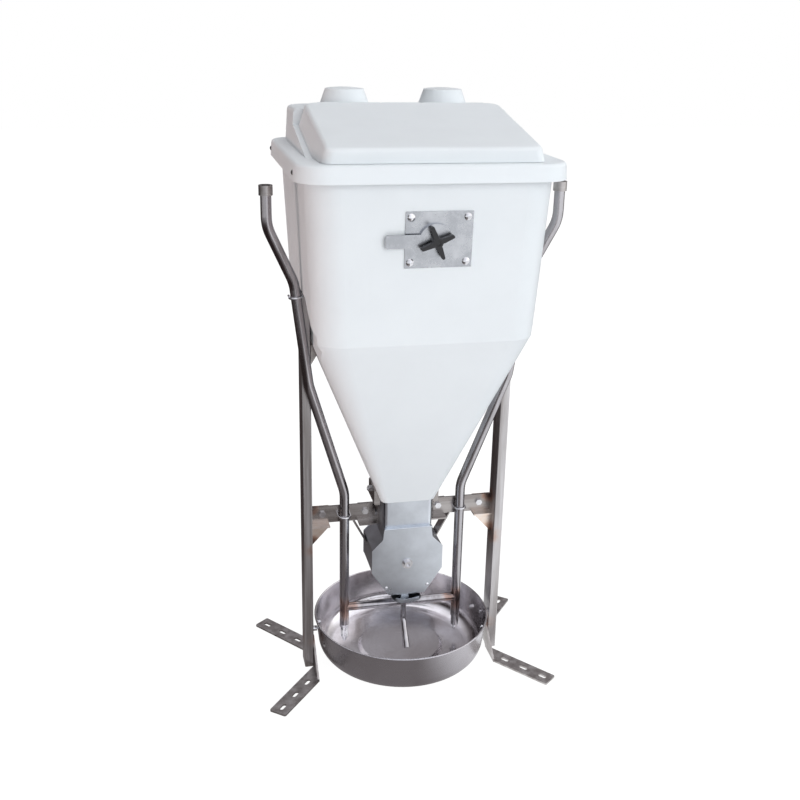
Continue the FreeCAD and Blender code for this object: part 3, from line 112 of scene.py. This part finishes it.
class Tree:
    """Short calls for building one node tree."""

    def __init__(self, tree, space="Object"):
        self.tree = tree
        self.space = space
        self.known_coords = None

    def add(self, kind, **settings):
        node = self.tree.nodes.new(kind)
        for name, value in settings.items():
            setattr(node, name, value)
        return node

    def join(self, source, target):
        self.tree.links.new(source, target)

    def feed(self, socket, value):
        """Links an output to a socket, or sets a plain value on it."""
        if isinstance(value, bpy.types.NodeSocket):
            self.join(value, socket)
        elif isinstance(value, tuple) and len(value) == 3 and socket.type == "RGBA":
            socket.default_value = (*value, 1.0)
        else:
            socket.default_value = value

    def coords(self):
        if self.known_coords is None:
            self.known_coords = self.add("ShaderNodeTexCoord").outputs[self.space]
        return self.known_coords

    def axes(self, vector):
        """A vector's three parts, as the outputs X, Y and Z."""
        node = self.add("ShaderNodeSeparateXYZ")
        self.join(vector, node.inputs[0])
        return node.outputs

    def vector_math(self, operation, a, b=None):
        node = self.add("ShaderNodeVectorMath", operation=operation)
        self.join(a, node.inputs[0])
        if b is not None:
            self.feed(node.inputs[1], b)
        return node

    def length(self, vector):
        return self.vector_math("LENGTH", vector).outputs["Value"]

    def stretched(self, scale):
        node = self.add("ShaderNodeMapping")
        self.join(self.coords(), node.inputs["Vector"])
        node.inputs["Scale"].default_value = scale
        return node.outputs["Vector"]

    def noise(self, scale, detail=3.0, roughness=0.55, vector=None):
        node = self.add("ShaderNodeTexNoise")
        self.join(vector or self.coords(), node.inputs["Vector"])
        node.inputs["Scale"].default_value = scale
        node.inputs["Detail"].default_value = detail
        node.inputs["Roughness"].default_value = roughness
        return node.outputs["Fac"]

    def bands(self, along, scale):
        """Noise that changes only along one number."""
        node = self.add("ShaderNodeTexNoise", noise_dimensions="1D")
        self.join(along, node.inputs["W"])
        node.inputs["Scale"].default_value = scale
        return node.outputs["Fac"]

    def math(self, operation, a, b=0.0):
        node = self.add("ShaderNodeMath", operation=operation)
        self.feed(node.inputs[0], a)
        self.feed(node.inputs[1], b)
        return node.outputs[0]

    def remap(self, value, low, high, to_low=0.0, to_high=1.0):
        node = self.add("ShaderNodeMapRange", interpolation_type="SMOOTHSTEP")
        self.feed(node.inputs["Value"], value)
        node.inputs["From Min"].default_value = low
        node.inputs["From Max"].default_value = high
        node.inputs["To Min"].default_value = to_low
        node.inputs["To Max"].default_value = to_high
        return node.outputs["Result"]

    def ramp(self, value, stops):
        node = self.add("ShaderNodeValToRGB")
        elements = node.color_ramp.elements
        while len(elements) < len(stops):
            elements.new(0.5)
        for element, (place, colour) in zip(elements, stops):
            element.position = place
            element.color = (*colour, 1.0)
        self.feed(node.inputs["Fac"], value)
        return node.outputs["Color"]

    def mix(self, share, a, b, blend="MIX"):
        node = self.add("ShaderNodeMix", data_type="RGBA", blend_type=blend)
        self.feed(node.inputs["Factor"], share)
        self.feed(node.inputs[6], a)
        self.feed(node.inputs[7], b)
        return node.outputs[2]

    def bump(self, height, strength, distance, before=None):
        node = self.add("ShaderNodeBump")
        self.join(height, node.inputs["Height"])
        node.inputs["Strength"].default_value = strength
        node.inputs["Distance"].default_value = distance
        if before:
            self.join(before, node.inputs["Normal"])
        return node.outputs["Normal"]

    def distance(self, centre):
        """How far each spot is from a point, in metres."""
        return self.length(self.vector_math("SUBTRACT", self.coords(), centre).outputs[0])

    def by_ray(self, kind, seen, other):
        """One shader for rays of a kind, and another for the rest."""
        node = self.add("ShaderNodeMixShader")
        self.join(self.add("ShaderNodeLightPath").outputs[kind], node.inputs[0])
        self.join(other, node.inputs[1])
        self.join(seen, node.inputs[2])
        return node.outputs[0]


def material(name):
    """A new material: its tree, its shader and the material itself."""
    made = bpy.data.materials.new(name)
    made.use_nodes = True
    made.node_tree.nodes.clear()
    tree = Tree(made.node_tree)
    output = tree.add("ShaderNodeOutputMaterial")
    shader = tree.add("ShaderNodeBsdfPrincipled")
    tree.join(shader.outputs["BSDF"], output.inputs["Surface"])
    return tree, shader, made


# ---------------------------------------------------------------- materials

def plastic_material(name, light, dull, roughness=0.40):
    """Translucent moulded polyethylene with a faint orange-peel skin and dull scuffs."""
    tree, shader, made = material(name)
    cloud = tree.noise(4.0, 4.0, 0.6)
    scuff = tree.noise(26.0, 6.0, 0.72, vector=tree.stretched((1.0, 1.0, 0.3)))
    base = tree.mix(tree.remap(cloud, 0.35, 0.75, 0.0, 0.35), light, dull)
    base = tree.mix(tree.remap(scuff, 0.60, 0.80, 0.0, 0.30), base, dull)
    tree.feed(shader.inputs["Base Color"], base)
    tree.feed(shader.inputs["Roughness"], tree.remap(scuff, 0.3, 0.8, roughness, roughness + 0.18))
    normal = tree.bump(tree.noise(7.0, 2.0, 0.5), 0.20, 0.004)
    normal = tree.bump(tree.noise(420.0, 2.0, 0.5), 0.12, 0.0004, normal)
    tree.join(normal, shader.inputs["Normal"])
    shader.inputs["Subsurface Weight"].default_value = 0.25
    shader.inputs["Subsurface Radius"].default_value = (1.0, 1.0, 1.0)
    shader.inputs["Subsurface Scale"].default_value = 0.006
    shader.inputs["IOR"].default_value = 1.5
    return made


def heat_tint(tree, colour, welds, strength):
    """Straw, then copper, then soot toward each weld point."""
    total = None
    for centre, reach in welds:
        heat = tree.remap(tree.distance(centre), reach * 0.1, reach * 1.1, 1.0, 0.0)
        total = heat if total is None else tree.math("MAXIMUM", total, heat)
    wobble = tree.remap(tree.noise(38.0, 4.0, 0.6), 0.3, 0.7, 0.65, 1.1)
    uneven = tree.math("MULTIPLY", total, wobble)
    bands = tree.ramp(uneven, ((0.0, TINT_STRAW), (0.5, TINT_COPPER), (0.95, TINT_SOOT)))
    return tree.mix(tree.remap(uneven, 0.1, 0.8, 0.0, strength), colour, bands)


def steel_material(name, dark, light, roughness, grain, welds=(), grime=0.3, tint=0.7,
                   coarse=60.0):
    """Bare steel with rolled or drawn grain along one axis, soft stains and heat tint."""
    tree, shader, made = material(name)
    streaks = tree.noise(coarse, 5.0, 0.6, vector=tree.stretched(grain))
    stain = tree.noise(7.0, 4.0, 0.55)
    speck = tree.noise(170.0, 3.0, 0.6)
    colour = tree.mix(tree.remap(streaks, 0.25, 0.75), dark, light)
    colour = tree.mix(tree.remap(stain, 0.45, 0.8, 0.0, grime), colour, dark)
    colour = tree.mix(tree.remap(speck, 0.62, 0.80, 0.0, grime), colour, dark)
    if welds:
        colour = heat_tint(tree, colour, welds, tint)
    tree.feed(shader.inputs["Base Color"], colour)
    worn = tree.math("ADD", tree.remap(streaks, 0.3, 0.7, -0.03, 0.03),
                     tree.remap(stain, 0.35, 0.75, roughness, roughness + 0.07))
    tree.feed(shader.inputs["Roughness"], worn)
    fine = tree.noise(700.0, 2.0, 0.5, vector=tree.stretched(grain))
    tree.join(tree.bump(fine, 0.08, 0.0002), shader.inputs["Normal"])
    shader.inputs["Metallic"].default_value = 1.0
    return made


def swirl_material(name, dark, light, roughness, centre):
    """Sheet steel with fine ring scratches about the shaft that turns on it."""
    tree, shader, made = material(name)
    radius = tree.distance(centre)
    wobble = tree.math("MULTIPLY", tree.noise(40.0, 3.0, 0.6), 0.004)
    rings = tree.bands(tree.math("ADD", radius, wobble), 900.0)
    smudge = tree.noise(22.0, 5.0, 0.65)
    inside = tree.remap(radius, 0.036, 0.052, 1.0, 0.0)
    scratch = tree.math("MULTIPLY", tree.remap(rings, 0.45, 0.7), inside)
    colour = tree.mix(tree.remap(smudge, 0.35, 0.7), dark, light)
    colour = tree.mix(tree.math("MULTIPLY", scratch, 0.5), colour, dark)
    tree.feed(shader.inputs["Base Color"], colour)
    tree.feed(shader.inputs["Roughness"], tree.remap(smudge, 0.35, 0.7, roughness, roughness + 0.1))
    tree.join(tree.bump(scratch, 0.15, 0.0003), shader.inputs["Normal"])
    shader.inputs["Metallic"].default_value = 1.0
    return made


def pan_material(name):
    """Spun sheet steel: polished inside, rougher and with a darker base colour on the outer wall,
    with faint turning rings.
    """
    tree, shader, made = material(name)
    flat = tree.stretched((1.0, 1.0, 0.0))
    normal = tree.add("ShaderNodeNewGeometry").outputs["Normal"]
    outward = tree.vector_math("DOT_PRODUCT", flat, normal).outputs["Value"]
    outside = tree.remap(outward, 0.03, 0.10)
    along = tree.math("ADD", tree.length(flat), tree.axes(tree.coords())["Z"])
    rings = tree.bands(along, 260.0)
    stain = tree.noise(9.0, 5.0, 0.6)
    smudge = tree.noise(34.0, 4.0, 0.6)
    colour = tree.mix(tree.remap(stain, 0.35, 0.7), PAN_LIGHT, PAN_DARK)
    colour = tree.mix(tree.remap(rings, 0.45, 0.8, 0.0, 0.25), colour, PAN_DARK)
    colour = tree.mix(tree.math("MULTIPLY", outside, 0.8), colour, PAN_OUTSIDE)
    tree.feed(shader.inputs["Base Color"], colour)
    polish = tree.remap(smudge, 0.35, 0.75, 0.15, 0.23)
    dull = tree.math("MULTIPLY", outside, 0.10)
    tree.feed(shader.inputs["Roughness"], tree.math("ADD", polish, dull))
    shader.inputs["Metallic"].default_value = 1.0
    return made


def black_plastic_material(name):
    tree, shader, made = material(name)
    cloud = tree.noise(40.0, 3.0, 0.6)
    tree.feed(shader.inputs["Base Color"], tree.mix(cloud, BLACK, BLACK_WORN))
    tree.feed(shader.inputs["Roughness"], tree.remap(cloud, 0.3, 0.7, 0.30, 0.45))
    tree.join(tree.bump(tree.noise(260.0, 3.0, 0.6), 0.15, 0.0004), shader.inputs["Normal"])
    return made


def reflected_floor(tree):
    """What metal reflects of the floor: dark on the left and behind, pale on the right."""
    ground = tree.axes(tree.coords())
    far = tree.remap(tree.length(tree.coords()), 1.8, 6.0)
    near_by = tree.mix(tree.remap(ground["X"], 0.0, 0.26), FLOOR_DIM, FLOOR_BRIGHT)
    ahead = tree.mix(tree.math("MULTIPLY", far, 0.7), near_by, FLOOR_BRIGHT)
    left = tree.remap(ground["X"], -0.9, -0.40, 1.0, 0.0)
    left = tree.math("MULTIPLY", left, tree.math("SUBTRACT", 1.0, far))
    behind = tree.remap(ground["Y"], -0.1, 0.7, 0.0, 0.9)
    return tree.mix(tree.math("MAXIMUM", left, behind), ahead, FLOOR_DARK)


def floor_material():
    """Plain white to the eye, with only a soft shadow."""
    tree, shader, made = material("studio_floor")
    shader.inputs["Base Color"].default_value = (*FLOOR_GREY, 1.0)
    shader.inputs["Roughness"].default_value = 0.8
    shader.inputs["Specular IOR Level"].default_value = 0.0
    mirrored = tree.add("ShaderNodeEmission")
    tree.feed(mirrored.inputs["Color"], reflected_floor(tree))
    pale = tree.add("ShaderNodeBsdfDiffuse")
    pale.inputs["Color"].default_value = (*WHITE, 1.0)
    glow = tree.add("ShaderNodeEmission")
    glow.inputs["Strength"].default_value = FLOOR_GLOW
    seen = tree.add("ShaderNodeMixShader")
    seen.inputs[0].default_value = FLOOR_GLOW_SHARE
    tree.join(pale.outputs[0], seen.inputs[1])
    tree.join(glow.outputs[0], seen.inputs[2])
    unseen = tree.by_ray("Is Glossy Ray", mirrored.outputs[0], shader.outputs["BSDF"])
    output = made.node_tree.get_output_node("ALL")
    tree.join(tree.by_ray("Is Camera Ray", seen.outputs[0], unseen), output.inputs["Surface"])
    return made


# ---------------------------------------------------------------- carried-over CAD nodes

def smooth(node, angle=SMOOTH_ANGLE):
    mesh = node.data
    mesh.shade_smooth()
    mesh.set_sharp_from_angle(angle=math.radians(angle))


def dress(names, made, bevel=0.0, angle=SMOOTH_ANGLE):
    """Gives CAD nodes one material, smooth shading and slightly broken edges."""
    for name in names:
        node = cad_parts[name]
        node.data.materials.clear()
        node.data.materials.append(made)
        smooth(node, angle)
        if bevel:
            edge = node.modifiers.new("broken_edge", "BEVEL")
            edge.width = bevel
            edge.segments = BEVEL_SEGMENTS
            edge.limit_method = "ANGLE"
            edge.angle_limit = math.radians(BEVEL_ANGLE)
            edge.harden_normals = True


def pair(stem):
    return [stem + "_left", stem + "_right"]


def weld_points():
    """Where the frame is welded: bar ends, gussets and feet."""
    bar_low, bar_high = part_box("crossbar_right")
    gusset_low, gusset_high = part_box("gusset_right")
    foot_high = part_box("foot_back_right")[1]
    inner_x = bar_high.x
    spots = []
    for sign in (-1, 1):
        spots.append(((sign * inner_x, bar_low.y, bar_high.z), REACH_BAR))
        spots.append(((sign * inner_x, 0.0, gusset_low.z), REACH_GUSSET))
        spots.append(((sign * inner_x, 0.0, foot_high.z), REACH_FOOT))
    return spots


def pipe_welds():
    low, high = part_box("cross_pipe")
    middle = (low + high) / 2
    return [((sign * high.x, middle.y, middle.z), REACH_PIPE) for sign in (-1, 1)]


def dress_frame():
    """Posts, feet, bars and gussets: bare steel with heat tint at the welds."""
    welds = weld_points()
    dress(pair("post"), steel_material("post_steel", STEEL_DARK, STEEL_LIGHT, 0.30,
                                       GRAIN_UPRIGHT, welds))
    dress(pair("foot_front") + pair("foot_back"),
          steel_material("foot_steel", STEEL_DARK, STEEL_MID, 0.30, GRAIN_EVEN, welds), EDGE_STRIP)
    dress(pair("crossbar") + pair("hanger") + pair("brace") + pair("throat_clamp")
          + pair("hopper_bracket"),
          steel_material("bar_steel", STEEL_DARK, STEEL_MID, 0.24, GRAIN_ACROSS, welds), EDGE_SHEET)
    dress(pair("gusset"), steel_material("tinted_steel", TINT_STRAW, TINT_PALE, 0.30, GRAIN_EVEN,
                                         welds, tint=0.9, coarse=30.0), EDGE_SHEET)


def dress_water():
    """Pipes, sockets and the rods of the mechanism, drawn lengthwise."""
    pipe_steel = steel_material("pipe_steel", PIPE_DARK, PIPE_LIGHT, 0.20, GRAIN_UPRIGHT,
                                pipe_welds())
    dress(pair("water_pipe") + ["cross_pipe"], pipe_steel)
    dress(["feed_lever", "dose_rod", "dose_shaft", "crank_arm", "hinge_pin"], pipe_steel)
    dress(pair("pipe_coupling"),
          steel_material("socket_steel", STEEL_DARK, STEEL_MID, 0.34, GRAIN_ACROSS), EDGE_STRIP)


def dress_metering():
    """Housing, neck and regulator: flat sheet."""
    sheet_steel = steel_material("sheet_steel", SHEET_DARK, SHEET_LIGHT, 0.29, GRAIN_EVEN,
                                 coarse=16.0)
    dress(["neck", "housing_front", "housing_back"] + pair("housing_side"), sheet_steel, EDGE_SHEET)
    dress(["rocker", "feed_tray", "dose_shutter"], sheet_steel)
    low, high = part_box("dose_shaft")
    dress(["regulator_plate", "dose_lever"],
          swirl_material("plate_steel", PLATE_DARK, PLATE_LIGHT, 0.22, (low + high) / 2),
          EDGE_SHEET)


def dress_all():
    dress_frame()
    dress_water()
    dress_metering()
    dress(["pan"], pan_material("pan_steel"))
    dress(["frame_bolts", "dome_screws", "housing_screws", "plate_screws", "cover_screws",
           "lever_nuts", "clip_nuts", "pan_bolts", "pivot_bolt", "lower_clips"]
          + pair("upper_clip") + pair("nipple_body") + pair("nipple_pin"),
          steel_material("fitting_steel", FITTING_DARK, FITTING_LIGHT, 0.16, GRAIN_EVEN),
          EDGE_FITTING)
    dress(["hopper", "cover", "filling_flap"],
          plastic_material("white_polyethylene", PLASTIC_LIGHT, PLASTIC_DULL),
          angle=SMOOTH_MOULDED)
    dress(["star_knob", "post_caps"], black_plastic_material("black_plastic"), EDGE_MOULDED)


# ---------------------------------------------------------------- studio

def make_camera():
    data = bpy.data.cameras.new("camera")
    data.lens = CAMERA_LENS
    data.sensor_width = CAMERA_SENSOR
    camera = bpy.data.objects.new("camera", data)
    bpy.context.scene.collection.objects.link(camera)
    yaw = math.radians(CAMERA_YAW)
    pitch = math.radians(CAMERA_PITCH)
    ahead = Vector((math.sin(yaw) * math.cos(pitch), math.cos(yaw) * math.cos(pitch),
                    math.sin(pitch)))
    turn = ahead.to_track_quat("-Z", "Y").to_matrix()
    roll = Matrix.Rotation(math.radians(CAMERA_ROLL), 3, "Z")
    camera.matrix_world = Matrix.Translation(CAMERA_PLACE) @ (turn @ roll).to_4x4()
    bpy.context.scene.camera = camera


def make_floor():
    mesh = bpy.data.meshes.new("studio_floor")
    half = FLOOR_SIZE / 2
    mesh.from_pydata([(-half, -half, 0), (half, -half, 0), (half, half, 0), (-half, half, 0)], [],
                     [(0, 1, 2, 3)])
    mesh.materials.append(floor_material())
    floor = bpy.data.objects.new("studio_floor", mesh)
    floor.location.z = -FLOOR_DROP
    bpy.context.scene.collection.objects.link(floor)


def make_light(name, place, target, size, power, colour):
    """A soft rectangle of light that bright metal doesn't reflect."""
    data = bpy.data.lights.new(name, "AREA")
    data.shape = "RECTANGLE"
    data.size, data.size_y = size
    data.energy = power
    data.color = colour
    light = bpy.data.objects.new(name, data)
    light.visible_glossy = False
    light.location = place
    light.rotation_euler = (Vector(target) - Vector(place)).to_track_quat("-Z", "Y").to_euler()
    bpy.context.scene.collection.objects.link(light)


def room_light(tree, stops, front, back, sky):
    """A background shader: `stops` run from left to right."""
    toward = tree.axes(tree.coords())
    side = tree.ramp(tree.remap(toward["X"], -1.0, 1.0), stops)
    ahead = tree.mix(tree.remap(toward["Y"], -0.9, -0.4, 0.8, 0.0), side, front)
    room = tree.mix(tree.remap(toward["Y"], 0.2, 0.85), ahead, back)
    above = tree.remap(toward["Z"], 0.45, 0.95)
    lit = tree.add("ShaderNodeBackground")
    tree.join(tree.mix(above, room, sky), lit.inputs["Color"])
    return lit


def make_world():
    """A pale room: brighter on the right and above, a dim warm side on the left."""
    world = bpy.data.worlds.new("studio")
    bpy.context.scene.world = world
    world.use_nodes = True
    world.node_tree.nodes.clear()
    tree = Tree(world.node_tree, "Generated")
    fill = room_light(tree, *ROOM_FILL)
    mirrored = room_light(tree, *ROOM_MIRRORED)
    mirrored.inputs["Strength"].default_value = MIRRORED_STRENGTH
    plain = tree.add("ShaderNodeBackground")
    plain.inputs["Color"].default_value = (*WHITE, 1.0)
    unseen = tree.by_ray("Is Glossy Ray", mirrored.outputs[0], fill.outputs[0])
    output = tree.add("ShaderNodeOutputWorld")
    tree.join(tree.by_ray("Is Camera Ray", plain.outputs[0], unseen), output.inputs["Surface"])


def make_studio():
    make_camera()
    make_floor()
    make_world()
    for light in LIGHTS:
        make_light(*light)
    bpy.context.scene.view_settings.view_transform = "Standard"


dress_all()
make_studio()
